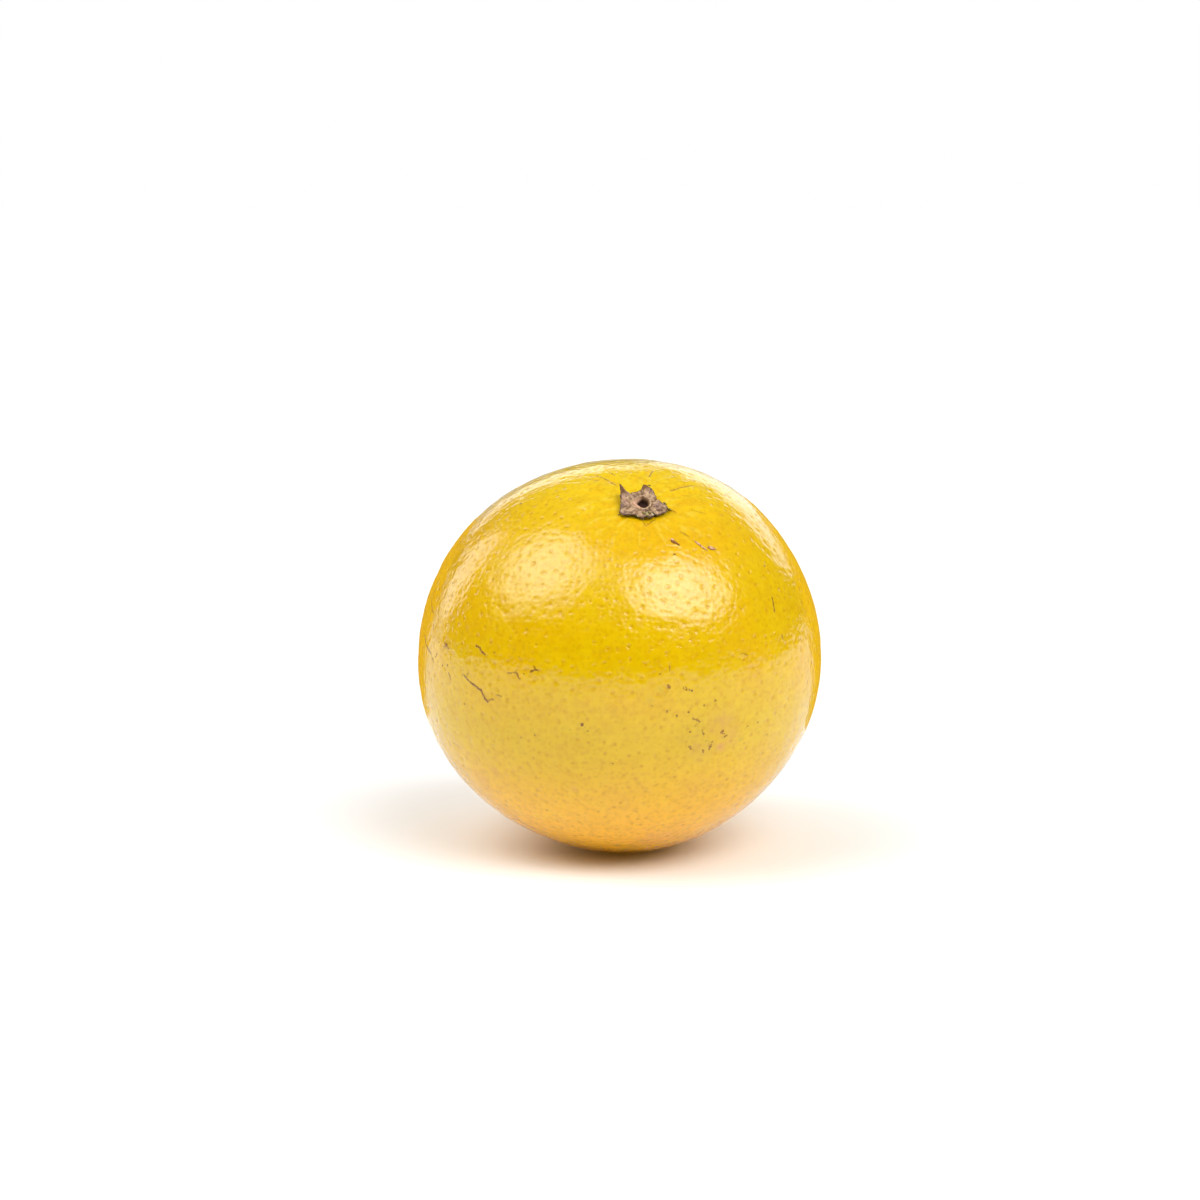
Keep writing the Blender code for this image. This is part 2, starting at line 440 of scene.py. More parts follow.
# dots: pixel, radius in mm, and how dark
specks = {
    "leftSide": (
        (438.8, 642.6, 0.13, 0.7), (437.0, 654.2, 0.17, 0.8), (435.6, 656.9, 0.12, 0.8),
        (432.2, 658.8, 0.15, 0.8), (442.5, 665.6, 0.13, 0.7), (447.5, 665.4, 0.17, 0.8),
        (445.6, 611.3, 0.16, 0.7), (453.0, 583.2, 0.14, 0.7), (446.4, 645.4, 0.32, 0.8),
        (448.6, 648.6, 0.14, 0.8), (444.2, 646.8, 0.16, 0.6), (464.4, 704.0, 0.14, 0.8),
        (445.0, 642.0, 0.10, 0.7),
    ),
    "nearFork": (
        (523.8, 674.0, 0.12, 0.6), (494.6, 652.6, 0.10, 0.5), (519.4, 657.2, 0.11, 0.5),
        (531.2, 670.8, 0.16, 0.8),
    ),
    "lowMiddle": (
        (582.0, 724.2, 0.36, 1.0), (587.7, 731.2, 0.10, 0.6), (570.0, 729.8, 0.10, 0.5),
        (521.0, 737.5, 0.12, 0.6), (535.0, 735.4, 0.12, 0.6), (613.0, 763.5, 0.12, 0.6),
        (561.7, 828.7, 0.12, 0.7),
    ),
    "rightPatch": (
        (669.4, 687.2, 0.34, 1.0), (668.0, 685.6, 0.20, 1.0), (684.4, 687.6, 0.26, 1.0),
        (686.4, 689.4, 0.14, 0.9), (691.9, 690.6, 0.14, 0.8), (660.0, 674.0, 0.15, 0.7),
        (652.6, 706.0, 0.13, 0.5), (667.2, 711.2, 0.20, 0.65), (676.9, 715.6, 0.18, 0.75),
        (688.3, 712.2, 0.12, 0.9), (692.8, 718.3, 0.18, 0.75), (697.4, 719.6, 0.17, 0.8),
        (699.6, 721.8, 0.16, 0.7), (715.0, 700.8, 0.18, 0.9), (704.4, 705.6, 0.14, 0.6),
        (690.0, 731.7, 0.17, 0.8), (703.7, 733.9, 0.20, 0.75), (702.2, 730.6, 0.12, 0.5),
        (722.6, 730.8, 0.22, 1.0), (721.2, 732.4, 0.14, 1.0), (725.0, 736.6, 0.12, 0.8),
        (726.6, 735.2, 0.10, 0.7), (710.4, 746.4, 0.28, 0.9), (709.4, 748.8, 0.16, 0.8),
        (712.2, 741.7, 0.14, 0.8), (689.4, 746.6, 0.18, 0.9), (691.2, 748.8, 0.20, 0.75),
        (702.6, 750.2, 0.16, 0.8), (703.4, 752.0, 0.12, 0.6), (747.8, 726.1, 0.15, 0.8),
        (757.8, 722.2, 0.17, 0.6), (767.2, 734.4, 0.10, 0.5), (705.8, 741.0, 0.10, 0.5),
        (695.0, 726.0, 0.09, 0.5), (744.0, 743.0, 0.10, 0.5),
    ),
    "top": (
        (674.3, 554.5, 0.17, 0.7), (764.5, 566.3, 0.13, 0.6), (654.0, 464.0, 0.15, 0.6),
        (672.9, 464.7, 0.15, 0.6), (700.5, 472.8, 0.15, 0.6),
    ),
}
# soft discoloured patches: pixel, radius in mm, and strength of pink-brown, then of olive
stains = {
    "rightPatch": (
        (721.0, 746.7, 0.85, 1.0, 0.0), (722.0, 722.0, 2.6, 0.45, 0.10), (730.0, 735.0, 2.2, 0.40, 0.0),
        (702.0, 748.0, 2.8, 0.25, 0.20), (660.6, 689.4, 0.5, 0.0, 0.60), (650.3, 700.0, 0.5, 0.0, 0.55),
        (740.6, 739.4, 0.4, 0.0, 0.60), (754.4, 675.0, 0.45, 0.60, 0.0), (750.6, 666.7, 0.5, 0.45, 0.0),
        (690.0, 735.0, 3.4, 0.0, 0.22),
    ),
    "lowMiddle": (
        (656.0, 838.0, 3.2, 0.35, 0.0), (532.0, 828.0, 1.5, 0.30, 0.0), (494.4, 770.5, 1.1, 0.35, 0.0),
        (483.0, 780.0, 1.6, 0.30, 0.0), (574.0, 788.7, 0.8, 0.35, 0.0),
    ),
    "leftSide": ((446.0, 646.0, 1.1, 0.30, 0.25), (486.0, 697.0, 0.7, 0.20, 0.20)),
    "byCalyx": ((645.6, 525.0, 0.35, 0.45, 0.0),),
    "broad": ((620.0, 800.0, 6.0, 0.10, 0.0), (700.0, 790.0, 4.5, 0.16, 0.0), (740.0, 690.0, 5.0, 0.08, 0.0)),
}
# the sides that the photograph doesn't show have scars and specks of the same kinds, by a seeded rule
hiddenMarks = {
    "specks": 120,
    "speckRadius": (0.09, 0.26),    # mm
    "scars": 16,
    "scarLength": (1.0, 4.5),       # mm
    "scarHalfWidth": (0.08, 0.16),  # mm
    "scarSteps": 3,
    "stains": 10,
    "stainRadius": (1, 4),          # mm
    "frontClear": 0.35,             # none where the peel faces the front by more than this
    "footClear": 0.93,              # and none where it faces the table by more than this
    "stemClear": 14,                # degrees from the stem axis
    "seed": 5,
}
markStep = 0.06                 # mm between the points of a scar's line
markReach = (0.4, 0.9)          # mm from a mark where it starts to let go, and has gone
speckBoost = 0.15               # specks are this much darker than their number
outside = 0.1                   # metres from the fruit's centre, well outside it


# where the line of sight through a pixel meets the first of these pieces, and which way it faces there
def seenAt(px, py, *pieces):
    start, along = lineOfSight(px, py)
    for piece in pieces:
        met, place, normal, _ = piece.ray_cast(start, along)
        if met:
            return place, normal
    print("nothing behind pixel", px, py)
    return None, None


# the place on the peel in a direction from the fruit's centre
def peelTowards(direction):
    return peel.ray_cast(Vector(fruitCentre) + direction * outside, -direction)[1]


# marks as close points in the peel, each with its half width and darkness, then the stains
def placeMarks():
    rule = hiddenMarks
    samples = []

    def addLine(points, halfWidth, darkness):
        for a, b in zip(points, points[1:]):
            count = max(2, int((b - a).length / (markStep * mm)))
            for k in range(count + 1):
                samples.append((a.lerp(b, k / count), halfWidth, darkness))

    for lines in marks.values():
        for halfWidth, darkness, *pixels in lines:
            places = [seenAt(*pixel, peel)[0] for pixel in pixels]
            addLine([place for place in places if place], halfWidth, darkness)
    for dots in specks.values():
        for px, py, radius, darkness in dots:
            place = seenAt(px, py, peel)[0]
            if place:
                samples.append((place, radius, min(1, darkness + speckBoost)))

    draw = random.Random(rule["seed"])

    def hiddenDirection():
        while True:
            direction = Vector([draw.gauss(0, 1) for _ in range(3)]).normalized()
            stemAngle = math.degrees(direction.angle(Vector(stemAxis)))
            clearOfEnds = direction.z > -rule["footClear"] and stemAngle > rule["stemClear"]
            if -direction.y < rule["frontClear"] and clearOfEnds:
                return direction

    for _ in range(rule["specks"]):
        place = peelTowards(hiddenDirection())
        samples.append((place, draw.uniform(*rule["speckRadius"]), draw.uniform(0.5, 1)))
    for _ in range(rule["scars"]):
        direction = hiddenDirection()
        heading = direction.orthogonal().normalized()
        heading.rotate(Vector(direction).to_track_quat("Z", "Y"))
        step = draw.uniform(*rule["scarLength"]) / rule["scarSteps"] / fruitForm["girthRadius"]
        points = [peelTowards(direction)]
        for _ in range(rule["scarSteps"]):
            heading = (heading + Vector([draw.uniform(-0.5, 0.5) for _ in range(3)])).normalized()
            direction = (direction + heading * step).normalized()
            points.append(peelTowards(direction))
        addLine(points, draw.uniform(*rule["scarHalfWidth"]), draw.uniform(0.6, 1))

    patches = []
    for spots in stains.values():
        for px, py, radius, pink, olive in spots:
            place = seenAt(px, py, peel)[0]
            if place:
                patches.append((place, radius, pink, olive))
    for _ in range(rule["stains"]):
        place = peelTowards(hiddenDirection())
        radius = draw.uniform(*rule["stainRadius"])
        patches.append((place, radius, draw.uniform(0, 0.4), draw.uniform(0, 0.3)))
    return samples, patches


# each point of the peel holds the way to its nearest mark, and that mark's size and darkness
def markPeel():
    samples, patches = placeMarks()
    tree = treeOf([place for place, _, _ in samples])

    points = readPoints(peel)
    outward = points - fruitCentre
    outward /= np.linalg.norm(outward, axis=1)[:, None]
    way = outward * farOff
    halfWidth = np.full(len(points), 0.1)
    darkness = np.full(len(points), 0.8)
    for i, point in enumerate(points):
        place, index, distance = tree.find(point)
        if distance < markReach[1] * mm:
            way[i] = wayAlong((np.array(place) - point) / mm, outward[i], distance / mm, markReach)
            _, halfWidth[i], darkness[i] = samples[index]
    addAttribute(peel, "wayToMark", way, "FLOAT_VECTOR")
    addAttribute(peel, "markHalfWidth", halfWidth)
    addAttribute(peel, "markDarkness", darkness)

    pink = np.zeros(len(points))
    olive = np.zeros(len(points))
    for place, radius, pinkness, oliveness in patches:
        spread = bell(np.linalg.norm(points - np.array(place), axis=1) / mm, radius)
        pink = np.maximum(pink, pinkness * spread)
        olive = np.maximum(olive, oliveness * spread)
    addAttribute(peel, "pinkStain", pink)
    addAttribute(peel, "oliveStain", olive)


markPeel()
print("marks on the peel")

# Waxed orange peel: smooth and rubbery, with a clear wax that gives soft-edged highlights. The colour
# sits in the peel's outer layer, and the oil glands below show as slightly darker dots.
peelLook = {
    "gold": "d5ae00",
    "amber": "d8a900",
    "waist": "d0b200",          # round the middle and below
    "warm": "f0ae00",           # brighter and more orange low down: painted bounce light from the floor
    # paler towards the top, round the calyx: painted light from above
    "nearCalyx": "e2c010",
    "paleStreak": "f4de60",     # painted highlight on the ridges that run out from the calyx
    "deepStreak": "e6a600",
    "shade": "ce9c00",
    "tint": "e2ba06",
    "gland": "bd9000",
    # the pits' floors: partly the glands' own deeper colour, partly painted shade in the dips
    "pitFloor": "c49000",
    "pinkBrown": "cc8850",
    "olive": "a8951c",
    "scar": "a06c00",
    "scarDark": "704000",
    # noise: mm between its patches, and its detail
    "noise": {
        "hue": (19, 2),
        "patch": (4.5, 3),
        "mottle": (1.3, 4),
        "glandNoise": (5.0, 2),
        "stainNoise": (1.4, 4),
        "edgeNoise": (0.30, 3),
        "scarNoise": (0.4, 3),
        "glossNoise": (3.0, 3),
        "grain": (0.5, 2),
    },
    "kept": ("streak", "pitDepth", "pinkStain", "oliveStain", "markHalfWidth", "markDarkness"),
    # masks made from others: the mask that each comes from, two levels of that, and its own values there
    "levels": {
        "glandDot": ("cells", 0.55, 0.05, 0, 1),
        "glandBowl": ("cells", 0.72, 0.0, 0, 1),
        "glandStrength": ("glandNoise", 0.3, 0.7, 0.22, 0.42),
        "pitDot": ("toPit", 0.52, 0.12, 0, 1),      # mm
        "pitBowl": ("toPit", 0.74, 0.0, 0, 1),
        "stainBreak": ("stainNoise", 0.25, 0.75, 0.4, 1.0),
        "scarRagged": ("edgeNoise", 0.2, 0.8, -0.12, 0.12),     # mm
        "scarDeep": ("scarNoise", 0.38, 0.62, 0, 1),
        "roughness": ("glossNoise", 0.3, 0.7, 0.12, 0.19),
    },
    # and masks that are two others multiplied
    "products": {
        "glandDots": ("glandDot", "glandStrength"),
        "pitDots": ("pitDot", "pitDepth"),
        "pitBowls": ("pitBowl", "pitDepth"),
        "pinkStains": ("pinkStain", "stainBreak"),
        "oliveStains": ("oliveStain", "stainBreak"),
    },
    "layers": (
        ("hue", 0.35, 0.68, 1.0, "amber"),
        ("height", 0.038, 0.024, 0.6, "waist"),     # metres above the table
        ("height", 0.031, 0.003, 1.0, "warm"),
        ("height", 0.060, 0.073, 1.0, "nearCalyx"),
        ("streak", 0.10, 0.60, 0.20, "paleStreak"),
        ("streak", -0.05, -0.50, 0.30, "deepStreak"),
        ("patch", 0.50, 0.30, 0.25, "shade"),
        ("patch", 0.52, 0.72, 0.25, "tint"),
        ("mottle", 0.50, 0.34, 0.40, "shade"),
        ("mottle", 0.52, 0.70, 0.30, "tint"),
        ("glandDots", 0, 1, 1.0, "gland", "LINEAR"),
        ("pitDots", 0, 1, 0.70, "pitFloor", "LINEAR"),
        ("pinkStains", 0, 1, 1.0, "pinkBrown", "LINEAR"),
        ("oliveStains", 0, 1, 1.0, "olive", "LINEAR"),
        ("pastMark", 0.45, 0.0, 0.16, "olive"),
        ("scar", 0, 1, 1.0, "cork", "LINEAR"),
    ),
    # finer than the mesh: pits have a narrow floor, glands dip, scars stand a little proud
    "relief": (("pitBowls", -0.074), ("glandBowl", -0.046), ("grain", 0.006), ("scar", 0.06)),
    "glandSpacing": 0.95,       # mm, the small oil glands
    "glandScatter": 0.7,        # from 0, an even grid, to 1
    "scarEdge": (0.13, -0.05),  # mm past a mark's half width where its colour starts, and is full
    "scarRoughness": 0.05,      # a scar is dull cork
    "ior": 1.45,
    "coat": 0.35,
    "coatRoughness": 0.06,
}


def makePeelMaterial():
    look = peelLook
    material, add, shader = newMaterial("waxedOrangePeel")
    masks = readMasks(add, look)
    masks["height"] = add("SeparateXYZ", {0: masks["place"]}).outputs["Z"]
    for name, way in (("toPit", "wayToPit"), ("toMark", "wayToMark")):
        vector = add("Attribute", attribute_name=way).outputs["Vector"]
        masks[name] = add("VectorMath", {0: vector}, operation="LENGTH")

    # a small gland shows as a dot where the surface cuts through the middle of its cell
    cells = {"Vector": masks["place"], "Scale": 1 / (look["glandSpacing"] * mm),
             "Randomness": look["glandScatter"]}
    masks["cells"] = add("TexVoronoi", cells)
    for name, (source, low, high, atLow, atHigh) in look["levels"].items():
        levels = {"Value": masks[source], "From Min": low, "From Max": high,
                  "To Min": atLow, "To Max": atHigh}
        masks[name] = add("MapRange", levels, interpolation_type="SMOOTHSTEP")
    for name, (a, b) in look["products"].items():
        masks[name] = add("Math", {0: masks[a], 1: masks[b]}, operation="MULTIPLY")

    # a scar reaches as far as its half width from the nearest mark's line, with a ragged edge
    ragged = add("Math", {0: masks["toMark"], 1: masks["scarRagged"]}, operation="ADD")
    masks["pastMark"] = add("Math", {0: ragged, 1: masks["markHalfWidth"]}, operation="SUBTRACT")
    start, full = look["scarEdge"]
    levels = {"Value": masks["pastMark"], "From Min": start, "From Max": full}
    inside = add("MapRange", levels, interpolation_type="SMOOTHSTEP")
    masks["scar"] = add("Math", {0: inside, 1: masks["markDarkness"]}, operation="MULTIPLY")
    cork = add("Mix", {0: masks["scarDeep"], 6: look["scar"], 7: look["scarDark"]}, data_type="RGBA")
    dull = {0: masks["scar"], 1: look["scarRoughness"], 2: masks["roughness"]}

    setInputs(shader, {
        "Base Color": layColours(add, look, "gold", masks, {"cork": cork}),
        "Roughness": add("Math", dull, operation="MULTIPLY_ADD"),
        "IOR": look["ior"],
        "Coat Weight": look["coat"],
        "Coat Roughness": look["coatRoughness"],
        "Normal": addRelief(add, look, masks),
    })
    return material


peel.data.materials.append(makePeelMaterial())
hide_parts("fruit")
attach(peel, "root")
print("peel finished")

# the dried calyx: five torn sepals round the scar that the stalk left. Points go right and back from
# the stem axis, then up from the peel, in mm.
calyxForm = {
    "middle": (-0.1, -0.5),
    "spokes": 360,
    "sepals": {
        "right": ((2.32, -2.77, 0.70), (3.42, -2.46, 0.70), (4.28, -1.82, 0.75), (4.50, -1.06, 0.85),
                  (4.41, -0.61, 1.10), (4.07, -0.01, 1.15), (3.51, 0.62, 1.00), (2.68, 1.43, 0.95)),
        "top": ((2.37, 2.25, 0.95), (1.91, 3.42, 1.05), (1.53, 3.87, 1.45), (0.69, 3.84, 1.80),
                (0.03, 3.85, 2.10), (-0.29, 3.52, 0.95), (-1.16, 3.04, 0.90), (-2.12, 2.54, 0.90)),
        "upperLeft": ((-2.98, 2.76, 1.30), (-3.64, 2.92, 1.90), (-4.04, 2.77, 2.60), (-3.98, 2.14, 1.90),
                      (-3.82, 1.36, 1.50), (-3.66, 0.37, 1.15)),
        "lowerLeft": ((-3.62, -1.11, 0.95), (-3.65, -2.24, 0.85), (-3.72, -2.91, 0.75),
                      (-3.37, -3.37, 0.70), (-2.66, -3.52, 0.72), (-1.60, -3.35, 0.75)),
        "bottom": ((-0.98, -3.25, 0.70), (-0.24, -3.68, 0.62), (0.21, -3.94, 0.60), (0.63, -3.80, 0.75),
                   (1.15, -3.57, 0.80), (2.14, -3.39, 0.62)),
    },
    # crest of the scar ring, and how much of it the hole fills there
    "ring": ((1.45, -0.54, 0.78), (1.11, 0.73, 0.80), (0.10, 1.31, 0.80), (-1.11, 0.40, 0.60),
             (-1.91, -1.06, 0.36), (-0.79, -2.10, 0.46), (0.45, -2.35, 0.58), (1.15, -1.75, 0.72)),
    "holeFloor": 0.12,
    "crestLift": 1.62,
    "footLift": 1.15,
    "edgeThickness": 0.20,
    "footThickness": 0.60,
    "root": -0.5,               # the middle is grown into the peel
    "ragged": 0.13,
    "wrinkle": 0.10,
    # wrinkles along the fibres and lumps in the tissue: how fine, and share
    "fibreWrinkles": ((1.2, 0.7), (2.9, 0.5)),
    "lumps": ((1.7, 0.8), (3.9, 0.6)),
    # folds and grooves: height, half width, then points right and back
    "folds": (
        (0.42, 0.24, (-3.67, 0.89), (-2.80, -0.54), (-2.05, -1.45), (-1.01, -2.48)),
        (0.14, 0.22, (-3.90, 2.60), (-2.60, 1.50), (-1.70, 0.60)),
        (0.26, 0.55, (3.75, -1.00), (2.90, -1.00), (2.30, -0.90)),
        (-0.24, 0.20, (-2.10, 2.60), (-1.50, 1.40)),
        (-0.26, 0.20, (2.60, 1.60), (1.90, 0.90)),
        (-0.30, 0.20, (2.40, -2.80), (1.70, -2.00)),
        (-0.22, 0.18, (-1.00, -3.30), (-0.80, -2.60)),
    ),
    "arcs": 0.05,               # low ridges round the ring
}


# world places for points over the peel, each right, back and up in mm
def overPeel(right, back, lift):
    level = np.sqrt(fruitForm["stemRadius"] ** 2 - right ** 2 - back ** 2)
    directions = right[:, None] * stemRight + back[:, None] * stemBack + level[:, None] * stemAxis
    directions /= np.linalg.norm(directions, axis=1)[:, None]
    return fruitCentre + directions * (formRadius(directions) + lift)[:, None] * mm


# values round the calyx's middle, read at any angle between its named points
def readRound(angles, points, values, smoothing=0):
    fromMiddle = points[:, :2] - calyxForm["middle"]
    bearings = np.arctan2(fromMiddle[:, 1], fromMiddle[:, 0])
    order = np.argsort(bearings)
    read = np.interp(angles, bearings[order], values[order], period=2 * math.pi)
    return np.mean([np.roll(read, shift) for shift in range(-smoothing, smoothing + 1)], axis=0)


def reachOf(points):
    return np.hypot(*(points[:, :2] - calyxForm["middle"]).T)


# The calyx as rings from the hole's floor out over the sepals, round their edge and back underneath.
# Each ring is a radius and a height over the peel for every spoke.
def calyxRings(angles):
    form = calyxForm
    edge = np.array([point for sepal in form["sepals"].values() for point in sepal])
    ring = np.array(form["ring"])
    circle = np.stack((np.cos(angles), np.sin(angles), 0 * angles), 1)
    edgeReach = readRound(angles, edge, reachOf(edge), 1)
    edgeReach += form["ragged"] * (noiseAt(circle * 9 + 3) + 0.8 * noiseAt(circle * 33))
    edgeLift = readRound(angles, edge, edge[:, 2], 1) + 0.10 * noiseAt(circle * 14 + 5)

    crest = readRound(angles, ring, reachOf(ring), 14) * (1 + 0.05 * noiseAt(circle * 4))
    hole = crest * readRound(angles, ring, ring[:, 2], 14)
    foot = np.minimum(crest + 0.55, edgeReach * 0.84)
    floor, footLift = form["holeFloor"], form["footLift"]
    crestLift = form["crestLift"] + 0.10 * noiseAt(circle * 5 + 2)
    rings = [(0.35 * hole, floor), (0.8 * hole, floor + 0.03), (hole, floor + 0.25),
             (hole + 0.05, crestLift - 0.75), (0.4 * hole + 0.6 * crest, crestLift - 0.38),
             (crest - 0.08, crestLift - 0.06), (crest + 0.05, crestLift), (crest + 0.18, crestLift - 0.14),
             (crest + 0.30, crestLift - 0.48), (foot, footLift)]
    blade = [(foot + share * (edgeReach - foot), footLift + share ** 1.6 * (edgeLift - footLift), share)
             for share in np.linspace(0.1, 1, 11)]
    rings += [(radius, lift) for radius, lift, _ in blade]
    rings.append((edgeReach + 0.03, edgeLift - 0.5 * form["edgeThickness"]))
    for radius, lift, share in reversed(blade[1::2]):
        thickness = form["footThickness"] + (form["edgeThickness"] - form["footThickness"]) * share
        rings.append((radius - 0.02, lift - thickness))
    rings += [(0.92 * foot, 0.1), (0.85 * foot, form["root"]), (0.4 * foot, form["root"])]
    return rings, crest


# a smooth line through rows of values, with a new row halfway between each two
def halveSteps(rows):
    before = np.vstack((rows[:1], rows[:-2]))
    after = np.vstack((rows[2:], rows[-1:]))
    between = (9 * (rows[:-1] + rows[1:]) - before - after) / 16
    finer = np.empty((2 * len(rows) - 1, rows.shape[1]))
    finer[0::2] = rows
    finer[1::2] = between
    return finer


# distance from each place to a line of points, in the plane or in space
def distanceToLine(places, line):
    nearest = np.full(len(places), np.inf)
    for a, b in zip(line, line[1:]):
        a, b = np.array(a), np.array(b)
        share = np.clip((places - a) @ (b - a) / ((b - a) @ (b - a)), 0, 1)
        nearest = np.minimum(nearest, np.linalg.norm(places - a - share[:, None] * (b - a), axis=1))
    return nearest


def makeCalyx():
    form = calyxForm
    spokes = form["spokes"]
    angles = np.arange(spokes) * 2 * math.pi / spokes
    rings, crest = calyxRings(angles)
    ringRadius = halveSteps(np.array([np.broadcast_to(radius, spokes) for radius, _ in rings]))
    ringLift = halveSteps(np.array([np.broadcast_to(lift, spokes) for _, lift in rings]))
    ringCount = len(ringRadius)

    # a small disc, its rim extruded once for every ring and closed at the end
    step = 0.1 * mm
    deselectAll()
    bpy.ops.mesh.primitive_circle_add(vertices=spokes, radius=5 * mm, fill_type="TRIFAN")
    calyx = bpy.context.active_object
    calyx.name = "driedCalyx"
    bpy.ops.object.mode_set(mode="EDIT")
    bpy.ops.mesh.select_all(action="DESELECT")
    bpy.ops.mesh.select_non_manifold()
    for _ in range(ringCount):
        bpy.ops.mesh.extrude_edges_move(TRANSFORM_OT_translate={"value": (0, 0, step)})
    bpy.ops.mesh.merge(type="CENTER")
    bpy.ops.object.mode_set(mode="OBJECT")

    # every ring takes its own radius and height over the peel
    disc = readPoints(calyx)
    ring = np.minimum(np.round(disc[:, 2] / step).astype(int), ringCount - 1)
    spoke = np.round(np.arctan2(disc[:, 1], disc[:, 0]) / (2 * math.pi) * spokes).astype(int) % spokes
    offMiddle = np.hypot(disc[:, 0], disc[:, 1]) > mm
    radius = ringRadius[ring, spoke] * offMiddle
    around = angles[spoke]
    right = form["middle"][0] + radius * np.cos(around)
    back = form["middle"][1] + radius * np.sin(around)
    lift = ringLift[ring, spoke]
    writePoints(calyx, overPeel(right, back, lift))
    bpy.ops.object.mode_set(mode="EDIT")
    bpy.ops.mesh.select_all(action="SELECT")
    bpy.ops.mesh.normals_make_consistent(inside=False)
    bpy.ops.object.mode_set(mode="OBJECT")

    # dried tissue folds, and wrinkles along its fibres, which run out from the middle
    points = readPoints(calyx)
    normals = np.empty(len(points) * 3)
    calyx.data.vertices.foreach_get("normal", normals)
    normals = normals.reshape(-1, 3)
    facesUp = smoothStep(0.0, 0.4, normals @ stemAxis)
    pastCrest = radius - crest[spoke]
    onSepal = smoothStep(0.15, 0.5, pastCrest)
    fibre = np.stack((np.cos(around) * 4, np.sin(around) * 4, radius * 0.45), 1)
    arc = np.stack((np.cos(around) * 1.3, np.sin(around) * 1.3, pastCrest * 2.4), 1)
    places = (points - fruitCentre) / mm
    wrinkles = sum(share * noiseAt(fibre * fineness) for fineness, share in form["fibreWrinkles"])
    wrinkles += sum(share * noiseAt(places * fineness) for fineness, share in form["lumps"])
    lifted = form["wrinkle"] * wrinkles * (0.3 + 0.7 * onSepal) + form["arcs"] * noiseAt(arc) * onSepal
    flat = np.stack((right, back), 1)
    for height, halfWidth, *line in form["folds"]:
        lifted += height * bell(distanceToLine(flat, line), halfWidth) * onSepal * facesUp
    writePoints(calyx, points + normals * lifted[:, None] * mm)
    calyx.data.shade_smooth()

    addAttribute(calyx, "fibre", fibre, "FLOAT_VECTOR")
    addAttribute(calyx, "toEdge", radius / ringRadius.max(0)[spoke])
    # the wrinkles' heights: painted highlight on their crests and painted shade in their creases
    addAttribute(calyx, "crease", wrinkles)
    crestLift = form["crestLift"]
    addAttribute(calyx, "ring", bell(pastCrest, 0.12) * smoothStep(crestLift - 0.5, crestLift - 0.05, lift))
    addAttribute(calyx, "lining", (1 - smoothStep(-0.20, -0.05, pastCrest)) * facesUp)
    # painted shade in the hole, reaching further up its right-hand wall, which faces away from the key light
    inHole = 1 - smoothStep(-0.30, -0.02, pastCrest)
    deepSide = smoothStep(-0.5, 0.4, right - form["middle"][0])
    below = 1 - smoothStep(0.30 + 0.4 * deepSide, 0.95 + 0.5 * deepSide, lift)
    addAttribute(calyx, "hollow", inHole * below)
    addAttribute(calyx, "deepSide", deepSide)
    addAttribute(calyx, "curledTip", smoothStep(1.30, 1.75, lift) * smoothStep(1.0, 1.6, pastCrest))
    # a pale pink painted highlight along the crest of the tallest ridge, on faces that look up
    addAttribute(calyx, "fold", bell(distanceToLine(flat, form["folds"][0][2:]), 0.2) * onSepal * facesUp)
    # painted shade under the sepals, on faces that look down to the peel
    addAttribute(calyx, "underside", smoothStep(0.1, -0.3, normals @ stemAxis))
    return calyx


calyx = makeCalyx()
print("calyx shaped", len(calyx.data.vertices), "points")

# Dried sepal tissue: papery and fibrous, greyed by air, with a corky ring and a hole where the stalk
# came away. No shine at all. Painted shade darkens the hole, the sepals' undersides and the creases
# of their wrinkles, and painted highlight lightens the wrinkles' crests and the tallest ridge.
calyxLook = {
    "dry": "93704f",
    "pale": "c3a27e",
    "mauve": "856668",
    "crease": "4a3022",
    "ring": "c2a27c",
    "lining": "d0a486",
    "paintedShadeLining": "8a6436",
    "hollow": "3c1a08",
    "fold": "c79b8a",
    "edge": "3e240e",
    "tip": "75502a",
    "underside": "3a2812",
    "noise": {"speckle": (0.24, 3), "blotch": (0.9, 3), "mauvePatch": (1.7, 3)},
    "kept": ("crease", "fold", "curledTip", "toEdge", "lining", "deepSide", "ring", "hollow", "underside"),
    "layers": (
        ("blotch", 0.35, 0.65, 1.0, "pale"),
        ("mauvePatch", 0.46, 0.66, 0.6, "mauve"),
        # paler on the wrinkles' crests as painted highlight, darker in their creases as painted shade
        ("crease", 0.1, 0.7, 0.5, "pale"),
        ("crease", -0.05, -0.7, 0.75, "crease"),
        ("fibres", 0.50, 0.70, 0.55, "crease"),
        ("speckle", 0.54, 0.72, 0.55, "crease"),
        ("speckle", 0.46, 0.30, 0.45, "pale"),
        # a pale pink painted highlight along the tallest ridge
        ("fold", 0, 1, 0.7, "fold", "LINEAR"),
        ("curledTip", 0, 1, 0.85, "tip", "LINEAR"),
        ("toEdge", 0.93, 0.99, 0.75, "edge"),
        # the hole's lining, darker on its right side as painted shade
        ("lining", 0, 1, 1.0, "holeLining", "LINEAR"),
        ("ring", 0, 1, 0.75, "ring", "LINEAR"),
        # painted shade in the hole
        ("hollow", 0, 1, 1.0, "hollow", "LINEAR"),
        # painted shade under the sepals
        ("underside", 0, 1, 1.0, "underside", "LINEAR"),
    ),
    "relief": (("fibres", 0.13), ("speckle", 0.09)),
    "fibreWidth": 0.30,         # mm across a fibre, 4 mm from the middle
    "roughness": 0.85,
}


